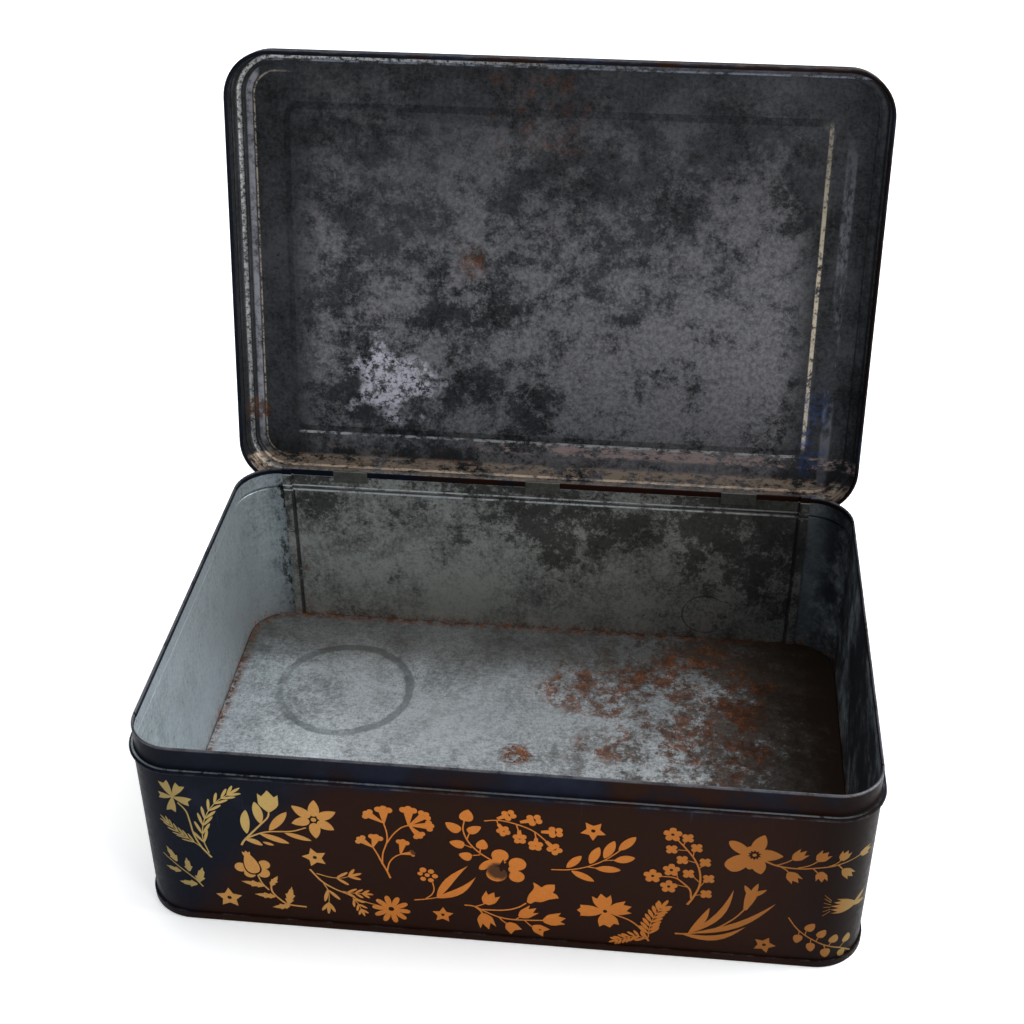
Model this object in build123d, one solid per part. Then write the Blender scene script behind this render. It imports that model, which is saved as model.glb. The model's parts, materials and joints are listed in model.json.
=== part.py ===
"""Hinged sheet-metal tin box, about 31 x 22 x 10 cm, standing open.

Eight pieces: a body wrap (front, both sides and both rear corners), a back panel locked to it by
two folded seams, a base pan crimped on below, a lid pressing, a hinge wire inside the lid's rear
curl, and three straps that hook over the body's rim and curl round the wire.

Millimetres.  X runs along the width, the front faces -Y, Z is up.  The origin lies on the plane
that the box rests on, at the middle of the body.  The lid is built shut and then swung open.
"""
from build123d import *
import os
from math import sqrt

# Overall size, over the outside of the neck that the lid slides down on
NECK_WIDTH = 310.0
NECK_DEPTH = 213.0
BODY_HEIGHT = 98.5
CORNER_RADIUS = 20.0
OPEN_ANGLE = 102.0

# Sheet and folds.  Cuts reach a margin beyond what they remove.
SHEET = 0.35
FOLD_GAP = 0.05
BEND = 0.28
ROUND_SLACK = 0.01
CUT_MARGIN = 1.0

# Body wall.  "Out" distances are measured outwards from the neck's outside.
HEM_HEIGHT = 3.0
HEM_DEPTH = 0.6
HEM_SLIT = 0.8
HEM_CUT_REACH = 5.0
WALL_OUT = 0.8
BEAD_OUT = 2.3
BEAD_RADIUS = 0.9
BEAD_FILLET = 0.7

# Base pan and the crimp that holds it on
FLOOR_TOP = 4.7
FLOOR_BEND = 0.8
FLOOR_RIM = 3.0
CRIMP_OUT = 1.8
CRIMP_HEIGHT = 3.9
CRIMP_BEND = 0.5
HOOK_OUT = 0.6
HOOK_BOTTOM = 0.75
HOOK_TOP = 2.9

# Hinge
WIRE_RADIUS = 0.5
WIRE_INSET = 6.0
STRAP_BORE = 0.54
CURL_BORE = 0.60
CURL_LIP = 0.25
LID_GAP = 0.6
HINGE_HEIGHT = 88.6
STRAP_WIDTH = 17.5
STRAP_PITCH = 99.0
STRAP_LEG = 6.3
STRAP_SIDE_GAP = 0.6
STRAP_BEND = 0.4
STRAP_LIP = 0.15
STRAP_LEAN_TOP = 1.0
STRAP_LEAN_FOOT = 0.1
STRAP_LEAN_BENDS = (0.3, 0.6)
STOP_LEAN = 0.92
NOTCH_RISE = 1.6

# Lid section, measured up from the hinge axis while the lid is shut
SKIRT_RISE = 9.95
LEDGE = 1.32
LEDGE_BEND = 0.45
SHOULDER_RISE = 4.3
SHOULDER_RADIUS = 3.4
SHOULDER_TOP = 4.2
CROWN_STEP = 1.2
CROWN_RUN = 0.5
CROWN_BEND = 0.4
MARGIN_RUN = 4.3
PANEL_INSET = 25.0
PANEL_SLOPE = 3.4
PANEL_DROP = 1.2
PANEL_CORNER = 5.0
PANEL_LAP = 0.5

# Lock seams at the two ends of the back panel
SEAM_CLEAR = 0.3
SEAM_OUTER = NECK_WIDTH / 2 - CORNER_RADIUS - SEAM_CLEAR
SEAM_WIDTH = 4.4
SEAM_SLACK = 0.2
PANEL_SLIT = 1.5

# Values that follow from the ones above
HALF = SHEET / 2
LAYER = SHEET + FOLD_GAP
BACK = NECK_DEPTH / 2
CURL_RADIUS = CURL_BORE + SHEET
HINGE_OUT = LID_GAP + CURL_RADIUS
LID_OUT = HINGE_OUT + CURL_RADIUS
HINGE_Y = BACK + HINGE_OUT
HEM_IN = HEM_DEPTH + SHEET
# The bead lies where the open lid's skirt comes to rest on its crown.
BEAD_REACH = (CURL_RADIUS + BEAD_RADIUS) / STOP_LEAN
BEAD_MIDDLE = BEAD_OUT - BEAD_RADIUS
BEAD_Z = HINGE_HEIGHT - sqrt(BEAD_REACH**2 - (BEAD_MIDDLE - HINGE_OUT) ** 2)
BEAD_TOP = BEAD_Z + BEAD_RADIUS
BEAD_BOTTOM = BEAD_Z - BEAD_RADIUS


def sheet_section(points, radii):
    """A closed section of bent sheet whose middle line runs through (out, up) points."""
    line = [Vector(*p) for p in points]
    runs = [(b - a).normalized() for a, b in zip(line, line[1:])]
    sides = [Vector(-d.Y, d.X) for d in runs]
    left, right, left_radii, right_radii = [], [], [], []
    for i, point in enumerate(line):
        before = sides[max(i - 1, 0)]
        after = sides[min(i, len(sides) - 1)]
        shift = (before + after) * (HALF / (1 + before.dot(after)))
        left.append(point + shift)
        right.append(point - shift)
        if 0 < i < len(line) - 1:
            turn = HALF if runs[i - 1].cross(runs[i]).Z > 0 else -HALF
            left_radii.append(radii[i - 1] - turn)
            right_radii.append(radii[i - 1] + turn)
    corners = left + right[::-1]
    bends = [0, *left_radii, 0, 0, *right_radii[::-1], 0]
    return make_face(FilletPolyline(*corners, radius=bends, close=True))


def rounded_outline(out, height=0.0):
    """The box's rounded rectangle, a given distance outside the neck."""
    outline = RectangleRounded(NECK_WIDTH + 2 * out, NECK_DEPTH + 2 * out, CORNER_RADIUS + out)
    return Pos(0, 0, height) * outline


def swept_ring(face, path):
    """Sweep an (out, up) section along a path that runs anticlockwise seen from above."""
    outward = (path % 0).cross(Vector(0, 0, 1))
    start = Plane(origin=path @ 0, x_dir=outward, z_dir=-(path % 0))
    return sweep(sections=start * face, path=path)


def extruded_strip(points, x_from, x_to):
    """Extrude an (out, up) polygon along the back wall from one X to another."""
    face = make_face(Polyline(*points, close=True))
    start = Plane(origin=(x_from, BACK, 0), x_dir=(0, 1, 0), z_dir=(1, 0, 0))
    return extrude(start * face, amount=x_to - x_from)


def block(x_range, y_range, z_range):
    """A box given by its limits."""
    size = [high - low for low, high in (x_range, y_range, z_range)]
    middle = [(high + low) / 2 for low, high in (x_range, y_range, z_range)]
    return Pos(*middle) * Box(*size)


def wall_section():
    """Hem folded inwards, neck, bead, wall, and the hook that the base pan grips."""
    middle_bead = BEAD_OUT - HALF
    points = [
        (-HALF - HEM_DEPTH, BODY_HEIGHT - HEM_HEIGHT),
        (-HALF - HEM_DEPTH, BODY_HEIGHT - HALF),
        (-HALF, BODY_HEIGHT - HALF),
        (-HALF, BEAD_TOP - HALF),
        (middle_bead, BEAD_TOP - HALF),
        (middle_bead, BEAD_BOTTOM + HALF),
        (WALL_OUT - HALF, BEAD_BOTTOM + HALF),
        (WALL_OUT - HALF, HOOK_BOTTOM),
        (WALL_OUT - HALF + HOOK_OUT, HOOK_BOTTOM),
        (WALL_OUT - HALF + HOOK_OUT, HOOK_TOP),
    ]
    crown = BEAD_RADIUS - HALF - ROUND_SLACK
    return sheet_section(points, [BEND, BEND, BEAD_FILLET, crown, crown, BEAD_FILLET, BEND, BEND])


def hem_cut(x_range, y_range):
    """A block that takes away the hem's inner layer and leaves the outer one."""
    return block(x_range, y_range, (BODY_HEIGHT - HEM_HEIGHT - CUT_MARGIN, BODY_HEIGHT + CUT_MARGIN))


def seam_layers(first, last, q_from, q_to, side):
    """Seam layers first..last, counted from the outermost, over one stretch of the back wall."""
    outer = first * LAYER
    inner = last * LAYER + SHEET
    top = BODY_HEIGHT - FOLD_GAP
    bottom = FLOOR_TOP + FOLD_GAP
    points = [
        (-outer, top),
        (-inner, top),
        (-inner, BEAD_TOP),
        (WALL_OUT - inner, BEAD_BOTTOM),
        (WALL_OUT - inner, bottom),
        (WALL_OUT - outer, bottom),
        (WALL_OUT - outer, BEAD_BOTTOM),
        (-outer, BEAD_TOP),
    ]
    low, high = sorted((side * q_from, side * q_to))
    return extruded_strip(points, low, high)


def make_body_wrap():
    """One sheet round the front, the sides and all four corners, hooked at both ends."""
    end = SEAM_OUTER - SEAM_WIDTH
    side, back, front = NECK_WIDTH / 2, BACK, -BACK
    corners = [(-end, back), (-side, back), (-side, front), (side, front), (side, back), (end, back)]
    path = FilletPolyline(*corners, radius=CORNER_RADIUS)
    wrap = swept_ring(wall_section(), path)
    for sign in (-1, 1):
        seam_zone = sorted((sign * (end - CUT_MARGIN), sign * (SEAM_OUTER + SEAM_SLACK)))
        wrap -= hem_cut(seam_zone, (BACK - HEM_CUT_REACH, BACK - SHEET))
        wrap += seam_layers(0, 2, end, end + SHEET, sign)
        wrap += seam_layers(2, 2, end, SEAM_OUTER - LAYER, sign)
        for y in (back - CORNER_RADIUS, front + CORNER_RADIUS):
            hem_side = sorted((sign * (side - HEM_CUT_REACH), sign * (side - SHEET)))
            wrap -= hem_cut(hem_side, (y - HEM_SLIT / 2, y + HEM_SLIT / 2))
    return wrap


def make_back_panel():
    """The sheet between the two lock seams, hooked into the wrap at both ends."""
    end = SEAM_OUTER - SEAM_WIDTH - FOLD_GAP
    start = Plane(origin=(-end, BACK, 0), x_dir=(0, 1, 0), z_dir=(1, 0, 0))
    panel = extrude(start * wall_section(), amount=2 * end)
    for sign in (-1, 1):
        seam_zone = sorted((sign * (end - PANEL_SLIT), sign * (end + CUT_MARGIN)))
        panel -= hem_cut(seam_zone, (BACK - HEM_CUT_REACH, BACK - SHEET))
        panel += seam_layers(0, 3, end - SHEET, end, sign)
        panel += seam_layers(3, 3, end - SHEET, SEAM_OUTER, sign)
        panel += seam_layers(1, 3, SEAM_OUTER - SHEET, SEAM_OUTER, sign)
        panel += seam_layers(1, 1, end + LAYER + FOLD_GAP, SEAM_OUTER - SHEET, sign)
    return panel


def make_base_pan():
    """A sunken floor whose edge goes down inside the wall and crimps up round its hook."""
    inside = WALL_OUT - SHEET - FOLD_GAP - HALF
    outside = CRIMP_OUT - HALF
    floor_middle = FLOOR_TOP - HALF
    edge = inside - FLOOR_RIM
    points = [
        (edge, floor_middle),
        (inside, floor_middle),
        (inside, HALF),
        (outside, HALF),
        (outside, CRIMP_HEIGHT - HALF),
        (WALL_OUT + HALF, CRIMP_HEIGHT - HALF),
    ]
    section = sheet_section(points, [FLOOR_BEND, CRIMP_BEND, CRIMP_BEND, CRIMP_BEND / 2])
    rim = swept_ring(section, rounded_outline(0).wire())
    floor = extrude(rounded_outline(edge, FLOOR_TOP - SHEET), amount=SHEET)
    return floor + rim


def lid_section():
    """Curl, skirt, ledge, rounded shoulder, small crown step and the start of the margin."""
    skirt = LID_OUT - HALF
    shoulder = skirt - LEDGE
    ledge_z = HINGE_HEIGHT + SKIRT_RISE
    curl = CURL_RADIUS - HALF
    crown_out = shoulder - SHOULDER_TOP
    crown_z = ledge_z + SHOULDER_RISE
    points = [
        (HINGE_OUT + CURL_LIP, HINGE_HEIGHT + curl),
        (HINGE_OUT - curl, HINGE_HEIGHT + curl),
        (HINGE_OUT - curl, HINGE_HEIGHT - curl),
        (skirt, HINGE_HEIGHT - curl),
        (skirt, ledge_z),
        (shoulder, ledge_z),
        (shoulder, crown_z),
        (crown_out, crown_z),
        (crown_out - CROWN_RUN, crown_z + CROWN_STEP),
        (crown_out - CROWN_RUN - MARGIN_RUN, crown_z + CROWN_STEP),
    ]
    round_curl = curl - ROUND_SLACK
    bends = [round_curl] * 3 + [LEDGE_BEND] * 2 + [SHOULDER_RADIUS] + [CROWN_BEND] * 2
    return sheet_section(points, bends)


def panel_frustum(shift):
    """The solid between the panel's outer edge at the margin and its foot, raised by a shift."""
    top = HINGE_HEIGHT + SKIRT_RISE + SHOULDER_RISE + CROWN_STEP - HALF + shift
    width = NECK_WIDTH + 2 * (LID_OUT - PANEL_INSET)
    depth = NECK_DEPTH + 2 * (LID_OUT - PANEL_INSET)
    shrink = 2 * PANEL_SLOPE
    upper = Pos(0, 0, top) * RectangleRounded(width, depth, PANEL_CORNER + PANEL_SLOPE)
    foot = RectangleRounded(width - shrink, depth - shrink, PANEL_CORNER)
    return loft([upper, Pos(0, 0, top - PANEL_DROP) * foot])


def strap_places():
    """The X of each hinge strap's middle, by name."""
    return {"left": -STRAP_PITCH, "center": 0.0, "right": STRAP_PITCH}


def make_lid():
    """The lid pressing, shut, with its curl notched for the straps."""
    edge = LID_OUT - HALF - LEDGE - SHOULDER_TOP - CROWN_RUN - MARGIN_RUN
    underside = HINGE_HEIGHT + SKIRT_RISE + SHOULDER_RISE + CROWN_STEP - HALF
    plate = extrude(rounded_outline(edge + PANEL_LAP, underside), amount=SHEET)
    plate = plate + panel_frustum(0) - panel_frustum(SHEET)
    lid = plate + swept_ring(lid_section(), rounded_outline(0).wire())
    reach = STRAP_WIDTH / 2 + STRAP_SIDE_GAP
    for x in strap_places().values():
        lid -= block(
            (x - reach, x + reach),
            (BACK - CUT_MARGIN, BACK + LID_OUT + CUT_MARGIN),
            (HINGE_HEIGHT - 2 * CUT_MARGIN, HINGE_HEIGHT + NOTCH_RISE),
        )
    return lid


def make_hinge_wire():
    """A straight wire along the lid's rear curl."""
    length = NECK_WIDTH - 2 * (CORNER_RADIUS + WIRE_INSET)
    return Pos(0, HINGE_Y, HINGE_HEIGHT) * Rot(0, 90, 0) * Cylinder(WIRE_RADIUS, length)


def make_strap(x):
    """A strip clipped over the rim, its outer leg curled round the wire."""
    inner = -HEM_IN - FOLD_GAP - HALF
    outer = FOLD_GAP + HALF
    top = BODY_HEIGHT + FOLD_GAP + HALF
    knuckle = STRAP_BORE + HALF
    below = HINGE_HEIGHT - knuckle
    points = [
        (inner, BODY_HEIGHT - STRAP_LEG),
        (inner, top),
        (outer, top),
        (outer, HINGE_HEIGHT + STRAP_LEAN_TOP),
        (HINGE_OUT - knuckle, HINGE_HEIGHT + STRAP_LEAN_FOOT),
        (HINGE_OUT - knuckle, below),
        (HINGE_OUT + knuckle, below),
        (HINGE_OUT + knuckle, HINGE_HEIGHT + knuckle),
        (HINGE_OUT - STRAP_LIP, HINGE_HEIGHT + knuckle),
    ]
    round_bend = knuckle - ROUND_SLACK
    bends = [STRAP_BEND] * 3 + [*STRAP_LEAN_BENDS, round_bend, round_bend]
    face = sheet_section(points, bends)
    start = Plane(origin=(x - STRAP_WIDTH / 2, BACK, 0), x_dir=(0, 1, 0), z_dir=(1, 0, 0))
    return extrude(start * face, amount=STRAP_WIDTH)


def swing_open(piece):
    """Turn a lid piece about the hinge axis from shut to fully open."""
    return piece.rotate(Axis((0, HINGE_Y, HINGE_HEIGHT), (1, 0, 0)), -OPEN_ANGLE)


def make_parts():
    """Every piece by its node name."""
    parts = {
        "body_wrap": make_body_wrap(),
        "back_panel": make_back_panel(),
        "base_pan": make_base_pan(),
        "lid_pressing": swing_open(make_lid()),
        "hinge_wire": make_hinge_wire(),
    }
    for name, x in strap_places().items():
        parts[f"hinge_strap_{name}"] = make_strap(x)
    return parts


os.makedirs("parts", exist_ok=True)
for node, solid in make_parts().items():
    export_step(solid, f"parts/{node}.step")
    print(f"{node}: {solid.volume:.0f} mm3, {len(solid.solids())} solid, valid {solid.is_valid}")
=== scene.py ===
"""Looks of a hinged tin box: black japanned outside with a floral print, worn bare tinplate inside."""

import json
from collections import namedtuple
from math import cos, pi, radians, sin

import bpy
from mathutils import Matrix, Vector
from mathutils.geometry import delaunay_2d_cdt
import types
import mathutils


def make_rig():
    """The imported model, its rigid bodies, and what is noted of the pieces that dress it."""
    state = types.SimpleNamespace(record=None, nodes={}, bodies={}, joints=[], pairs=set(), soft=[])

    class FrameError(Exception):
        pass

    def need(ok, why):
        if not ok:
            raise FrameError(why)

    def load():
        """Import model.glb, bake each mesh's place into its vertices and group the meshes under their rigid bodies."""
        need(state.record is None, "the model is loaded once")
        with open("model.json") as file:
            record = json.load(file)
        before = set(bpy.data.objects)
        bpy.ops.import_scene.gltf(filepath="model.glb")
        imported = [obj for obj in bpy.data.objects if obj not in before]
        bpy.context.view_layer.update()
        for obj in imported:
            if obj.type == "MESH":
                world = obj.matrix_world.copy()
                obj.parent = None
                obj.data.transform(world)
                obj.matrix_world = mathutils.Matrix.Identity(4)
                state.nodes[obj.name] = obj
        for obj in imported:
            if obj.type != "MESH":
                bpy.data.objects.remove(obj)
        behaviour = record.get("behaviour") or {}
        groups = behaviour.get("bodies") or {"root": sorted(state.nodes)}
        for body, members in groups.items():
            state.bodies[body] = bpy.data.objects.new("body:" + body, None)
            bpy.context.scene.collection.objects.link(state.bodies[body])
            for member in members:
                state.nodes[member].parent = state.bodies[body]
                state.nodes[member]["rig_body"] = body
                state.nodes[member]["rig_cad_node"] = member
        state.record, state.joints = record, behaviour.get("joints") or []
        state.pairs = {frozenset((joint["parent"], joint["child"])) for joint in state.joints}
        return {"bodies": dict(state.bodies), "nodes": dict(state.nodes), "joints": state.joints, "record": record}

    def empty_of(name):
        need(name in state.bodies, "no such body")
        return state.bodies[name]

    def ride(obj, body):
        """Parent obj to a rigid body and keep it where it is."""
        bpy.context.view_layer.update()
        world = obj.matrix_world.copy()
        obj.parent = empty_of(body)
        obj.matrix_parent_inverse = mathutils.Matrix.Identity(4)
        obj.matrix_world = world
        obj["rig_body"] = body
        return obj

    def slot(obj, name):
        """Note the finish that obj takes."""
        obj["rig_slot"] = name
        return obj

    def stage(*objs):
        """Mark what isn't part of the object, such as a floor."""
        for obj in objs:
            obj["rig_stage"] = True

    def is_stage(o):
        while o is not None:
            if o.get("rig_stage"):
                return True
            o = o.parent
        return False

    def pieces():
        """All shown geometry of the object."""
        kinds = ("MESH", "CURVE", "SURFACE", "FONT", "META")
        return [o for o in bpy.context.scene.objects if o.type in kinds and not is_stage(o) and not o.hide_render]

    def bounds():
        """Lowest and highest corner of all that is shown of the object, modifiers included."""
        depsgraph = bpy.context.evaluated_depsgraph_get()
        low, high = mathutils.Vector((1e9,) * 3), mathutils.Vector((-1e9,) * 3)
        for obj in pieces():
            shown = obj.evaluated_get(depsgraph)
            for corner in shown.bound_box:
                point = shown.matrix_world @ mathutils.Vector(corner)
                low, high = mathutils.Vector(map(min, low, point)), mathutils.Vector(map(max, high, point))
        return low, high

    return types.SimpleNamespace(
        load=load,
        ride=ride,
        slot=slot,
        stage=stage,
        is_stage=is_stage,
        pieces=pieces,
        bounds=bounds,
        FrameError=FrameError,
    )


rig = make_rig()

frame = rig.load()
SIZE_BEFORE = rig.bounds()

MM = 0.001

# Sizes of the tin, in metres.  The neck is the part of the wall that the lid slides down on.
NECK_HALF_WIDTH = 0.155
NECK_HALF_DEPTH = 0.1065
CORNER_RADIUS = 0.02
WALL_OUT = 0.0008
BEAD_OUT = 0.0023
BEAD_Z = 0.0866
HEM_BOTTOM = 0.0955
HINGE = Vector((0.0, 0.10805, 0.0886))
OPEN_ANGLE = radians(102)
LID_SHUT_TOP = 0.103025
CURL_TOP = 0.0896
PANEL_HALF_WIDTH = 0.1291
PANEL_HALF_DEPTH = 0.0806

# The film of printing ink, from just inside the painted surface to its own face
FILM_FACE = 0.00004
FILM_ROOT = -0.00002

# The print in millimetres: the cuts that let it bend, where its front starts, how low and slanted it is
CORNER_STEP = 1.0
PRINT_SHIFT_X = -0.5
PRINT_DROP = 2.0
PRINT_SLANT = 0.005
PRINT_REPEATS = 3

# Copies of the print on the lid, and how near the edge of its sunk panel a motif may come
LID_SHIFTS = ((0, -83), (-157, -5), (157, -5))
LID_MARGIN_X = 4
LID_MARGIN_Y = 3

# How much of its stated width a stroke or leaf is drawn, and the points along a leaf
STROKE_WEIGHT = 0.72
LEAF_WEIGHT = 0.86
LEAF_STEPS = 12

# How much paint and ink mirror what is round them, and over how much height a hem's paint begins
PAINT_SHEEN = 0.02
INK_SHEEN = 0.08
EDGE_BLEND = 1e-5

# The studio floor: its width, how far under the tin it lies, and the light it adds by itself
FLOOR_SPAN = 40
FLOOR_GAP = 0.0001
FLOOR_GLOW = 0.34

Finish = namedtuple("Finish", "colour metal rough height")


def coat(red, green, blue, *rest):
    """A finish of one colour, with its metal, roughness and height."""
    return Finish((red, green, blue, 1), *rest)


BARE_GREY = coat(0.055, 0.055, 0.062, 0.3, 0.42, 0.0)


# ---------------------------------------------------------------- materials


class Shader:
    """A material's node tree with short ways to add the nodes used here."""

    def __init__(self, name, turned=False):
        self.material = bpy.data.materials.new(name)
        self.material.use_nodes = True
        self.tree = self.material.node_tree
        self.surface = self.tree.nodes["Principled BSDF"]
        coords = self.tree.nodes.new("ShaderNodeTexCoord")
        self.at = coords.outputs["Object"]
        self.normal = coords.outputs["Normal"]
        if turned:
            self.at = self.turn(self.at, HINGE)
            self.normal = self.turn(self.normal, Vector())
        self.x, self.y, self.z = self.split(self.at)

    def node(self, kind, *values, **settings):
        """A new node with its first inputs given values or links, and its settings."""
        made = self.tree.nodes.new(kind)
        for name, value in settings.items():
            setattr(made, name, value)
        for socket, value in zip(made.inputs, values):
            self.put(socket, value)
        return made

    def put(self, socket, value):
        if isinstance(value, bpy.types.NodeSocket):
            self.tree.links.new(value, socket)
        else:
            socket.default_value = value

    def turn(self, vector, centre):
        """Swing an open lid's coordinates back to where they are with the lid shut."""
        made = self.node("ShaderNodeVectorRotate", vector, centre, rotation_type="X_AXIS")
        made.inputs["Angle"].default_value = OPEN_ANGLE
        return made.outputs[0]

    def split(self, vector):
        return self.node("ShaderNodeSeparateXYZ", vector).outputs[:3]

    def math(self, operation, a, b=0.0):
        return self.node("ShaderNodeMath", a, b, operation=operation).outputs[0]

    def mix(self, factor, a, b):
        """Blend two numbers or two colours by a mask."""
        colours = any(isinstance(v, tuple) or getattr(v, "type", "") == "RGBA" for v in (a, b))
        kind, first = ("RGBA", 6) if colours else ("FLOAT", 2)
        made = self.node("ShaderNodeMix", data_type=kind)
        self.put(made.inputs[0], factor)
        self.put(made.inputs[first], a)
        self.put(made.inputs[first + 1], b)
        return made.outputs[2 if colours else 0]

    def steps(self, value, low, high):
        """0 at low, 1 at high, smooth between."""
        made = self.node("ShaderNodeMapRange", value, low, high, interpolation_type="SMOOTHSTEP")
        return made.outputs[0]

    def speckle(self, low, high, *noise):
        """A mask of grains or islands cut out of a noise."""
        return self.steps(self.noise(*noise), low, high)

    def ragged(self, value, reach, *noise):
        """A value pushed up unevenly by as much as reach."""
        return self.add(value, self.both(self.noise(*noise), reach))

    def sway(self, reach, *noise):
        """An uneven shift to either side of nothing."""
        return self.both(self.less(self.noise(*noise), 0.5), reach)

    def stretched(self, x=1.0, y=1.0, z=1.0):
        return self.node("ShaderNodeVectorMath", self.at, (x, y, z), operation="MULTIPLY").outputs[0]

    def noise(self, scale, detail=5.0, rough=0.6, at=None):
        made = self.node("ShaderNodeTexNoise", self.at if at is None else at)
        for name, value in (("Scale", scale), ("Detail", detail), ("Roughness", rough)):
            made.inputs[name].default_value = value
        return made.outputs[0]

    def band(self, value, centre, half):
        """1 where a value is within half of a centre, fading out just past it."""
        gap = self.size(self.less(value, centre))
        return self.steps(gap, half * 1.3, half * 0.7)

    def away(self, x=None, y=None, z=None):
        """Distance from a point, a line or a plane, whichever coordinates are given."""
        total = None
        for value, here in ((x, self.x), (y, self.y), (z, self.z)):
            if value is not None:
                gap = self.less(here, value)
                square = self.both(gap, gap)
                total = square if total is None else self.add(total, square)
        return self.math("SQRT", total)

    def patch(self, reach, ragged, scale=60.0, **centre):
        """A ragged-edged patch round a point, a line or a plane."""
        gap = self.away(**centre)
        edge = self.sway(ragged * 2, scale)
        return self.steps(self.add(gap, edge), reach * 1.25, reach * 0.75)

    def add(self, a, b):
        return self.math("ADD", a, b)

    def less(self, a, b):
        return self.math("SUBTRACT", a, b)

    def size(self, a):
        return self.math("ABSOLUTE", a)

    def both(self, first, *others):
        """Several masks at once, or a value made larger or smaller."""
        for other in others:
            first = self.math("MULTIPLY", first, other)
        return first

    def either(self, first, *others):
        for other in others:
            first = self.math("MAXIMUM", first, other)
        return first

    def outwards(self):
        """Distance outside the neck's outline, and how far the surface faces outwards."""
        over, facing = [], []
        sides = ((self.x, NECK_HALF_WIDTH), (self.y, NECK_HALF_DEPTH))
        for here, half, normal in zip(*zip(*sides), self.split(self.normal)):
            past = self.less(self.size(here), half - CORNER_RADIUS)
            past = self.math("MAXIMUM", past, 0.0)
            signed = self.both(self.math("SIGN", here), past)
            over.append(self.both(past, past))
            facing.append(self.both(signed, normal))
        length = self.math("SQRT", self.add(*over))
        out = self.less(length, CORNER_RADIUS)
        return out, self.math("DIVIDE", self.add(*facing), length)

    def finish(self, finish, depth, sheen=0.5):
        """Drive the surface with a finish whose height is a fraction of the depth."""
        bump = self.node("ShaderNodeBump")
        bump.inputs["Distance"].default_value = depth
        self.put(bump.inputs["Height"], finish.height)
        names = ("Base Color", "Metallic", "Roughness", "Normal", "Specular IOR Level")
        for name, value in zip(names, (*finish[:3], bump.outputs[0], sheen)):
            self.put(self.surface.inputs[name], value)
        return self.material

    def over(self, mask, under, top):
        """One finish laid over another where the mask is 1."""
        return Finish(*(self.mix(mask, a, b) for a, b in zip(under, top)))

    def lay(self, top, *masks):
        """Lay a finish over the bare metal and its marks so far, where all the masks are 1."""
        self.metal = self.over(self.both(*masks), self.metal, top)


def rust(sh):
    """Dry brown rust with some orange bloom."""
    grain = sh.noise(1100, 7, 0.7)
    bloom = sh.speckle(0.44, 0.64, 190, 9, 0.8)
    dark = sh.mix(sh.steps(grain, 0.38, 0.62), (0.028, 0.015, 0.01, 1), (0.105, 0.042, 0.022, 1))
    bright = sh.mix(sh.steps(grain, 0.38, 0.62), (0.12, 0.042, 0.018, 1), (0.27, 0.1, 0.042, 1))
    return Finish(sh.mix(bloom, dark, bright), 0.0, sh.mix(grain, 0.75, 1.0), sh.mix(grain, 0.4, 1.0))


def tin(sh, brushed, dark, light, tarnish=0.5, spread=0.13):
    """Bare tinplate: clouds, brushing and fine grain between a tarnished and a clean colour."""
    strokes = sh.noise(650, 3, at=brushed)
    clouds = sh.noise(24, 10, 0.74)
    grain = sh.noise(520, 8, 0.78)
    tone = sh.add(sh.both(clouds, 0.5), sh.both(grain, 0.4))
    tone = sh.add(tone, sh.both(strokes, 0.1))
    bright = sh.steps(tone, tarnish - spread, tarnish + spread)
    pits = sh.speckle(0.585, 0.635, 310, 8, 0.8)
    bright = sh.both(bright, sh.mix(pits, 1.0, 0.25))
    height = sh.add(sh.both(strokes, 0.4), sh.both(grain, 0.6))
    metal = sh.mix(bright, 0.45, 0.85)
    return Finish(sh.mix(bright, dark, light), metal, sh.mix(bright, 0.62, 0.4), height)


def bright_tin_highlight(sh):
    """Bright tin painted on as a highlight."""
    return coat(0.85, 0.85, 0.83, 0.9, sh.mix(sh.noise(300), 0.25, 0.4), 0.6)


def painted_reflection_zone(sh, sway):
    """The upper left of the front, where a reflection is painted in: blue-black on the paint and gold on the ink."""
    wave = sh.sway(sway, 34, 5)
    lean = sh.both(sh.less(sh.z, 0.05), -0.8)
    return sh.steps(sh.add(sh.add(sh.x, lean), wave), -0.084, -0.116)


def enamel(sh):
    """Black japanning: brown-black in the middle and rubbed, with blue-black painted reflection at the upper left, the
    right corner and the neck, bluish painted sheen, and painted shade towards the right end.
    """
    haze = sh.noise(34, 5)
    fine = sh.noise(420, 4)
    # Painted reflection: blue-black at the upper left, at the right corner and in patches on the neck.
    cool_reflection = sh.either(painted_reflection_zone(sh, 0.06), sh.steps(sh.x, 0.148, 0.156))
    neck = sh.both(sh.steps(sh.z, 0.08, 0.087), sh.steps(sh.z, 0.1005, 0.0995))
    cool_reflection = sh.either(cool_reflection, sh.both(neck, sh.steps(haze, 0.4, 0.6)))
    colour = sh.mix(cool_reflection, (0.019, 0.0072, 0.0042, 1), (0.0062, 0.0074, 0.0128, 1))
    # Painted shade: darker towards the right end.
    colour = sh.mix(sh.steps(sh.x, 0.105, 0.152), colour, (0.007, 0.0042, 0.0036, 1))
    # Painted sheen: a bluish haze in patches, strongest where the reflection is painted.
    painted_sheen = sh.both(sh.steps(haze, 0.5, 0.72), sh.mix(cool_reflection, 0.05, 0.8))
    colour = sh.mix(painted_sheen, colour, (0.013, 0.016, 0.03, 1))
    scratch = sh.noise(500, 2, at=sh.stretched(1, 1, 0.03))
    scuffs = sh.steps(scratch, 0.74, 0.8)
    colour = sh.mix(scuffs, colour, (0.028, 0.026, 0.03, 1))
    rough = sh.mix(sh.steps(fine, 0.3, 0.7), 0.3, 0.46)
    return Finish(colour, 0.0, rough, sh.mix(scuffs, sh.both(fine, 0.3), 0.0))


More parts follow.
